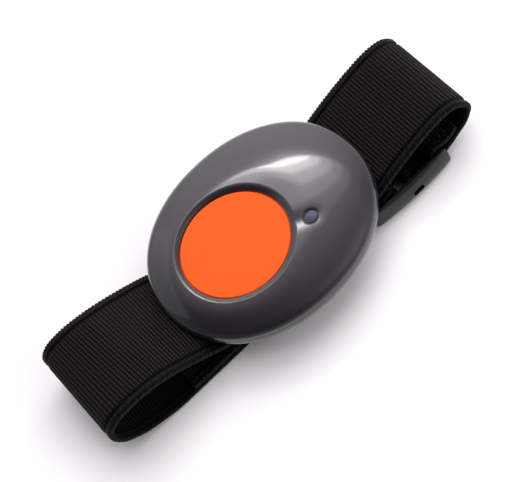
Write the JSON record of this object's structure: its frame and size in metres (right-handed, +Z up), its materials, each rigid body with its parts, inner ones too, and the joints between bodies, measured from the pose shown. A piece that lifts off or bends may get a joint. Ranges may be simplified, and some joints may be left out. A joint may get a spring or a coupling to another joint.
{
  "type": "panic button wristband",
  "caption": "Wrist-worn alarm button: an egg-shaped sealed housing with a round push button and indicator on an elastic strap with a clamp buckle.",
  "frame": {"origin": "middle of the band's footprint, on the surface that the buckle and the strap's lower layer rest on", "axes": "+X along the strap towards the buckle, +Y across the strap, +Z up, out of the button's face"},
  "size_m": [0.098, 0.0452, 0.0138],
  "materials": {
    "shell": "glossy moulded grey plastic",
    "button": "satin moulded orange plastic",
    "lens": "smoked violet light guide",
    "seal_rubber": "soft black silicone",
    "strap": "ribbed woven elastic",
    "black_plastic": "satin moulded black plastic",
    "board": "green solder resist",
    "chip": "moulded black resin",
    "ceramic": "pale ceramic",
    "contact_brass": "rolled brass strip",
    "steel": "plated steel"
  },
  "bodies": {
    "band": {"top_cover": "shell", "base_shell": "shell", "case_seal": "seal_rubber", "return_ring": "seal_rubber", "indicator_lens": "lens", "circuit_board": "board", "key_switch": "steel", "indicator_led": "ceramic", "coin_cell": "steel", "cell_holder": "black_plastic", "positive_contact": "contact_brass", "negative_contact": "contact_brass", "antenna": "contact_brass", "radio_chip": "chip", "controller_chip": "chip", "crystal": "steel", "buzzer": "black_plastic", "capacitors": "ceramic", "resistors": "chip", "board_screws": "steel", "strap_plate": "shell", "case_screws": "steel", "elastic_strap": "strap", "buckle_frame": "black_plastic", "hinge_pin": "steel"},
    "button": {"button_cap": "button"},
    "plunger": {"switch_plunger": "chip"},
    "lever": {"clamp_lever": "black_plastic"}
  },
  "joints": [
    {"name": "button_press", "type": "slide", "parent": "band", "child": "button", "axis": [0, 0, -1], "range_m": [0, 0.0004], "stiffness_N_per_m": 2500, "deforming": ["return_ring"]},
    {"name": "plunger_press", "type": "slide", "parent": "band", "child": "plunger", "axis": [0, 0, -1], "range_m": [0, 0.0004]},
    {"name": "lever_hinge", "type": "hinge", "parent": "band", "child": "lever", "pos_m": [0.0301, 0, 0.003], "axis": [0, 1, 0], "range_deg": [0, 90]}
  ],
  "couplings": [
    {"joint": "plunger_press", "follows": "button_press", "ratio": 1}
  ]
}
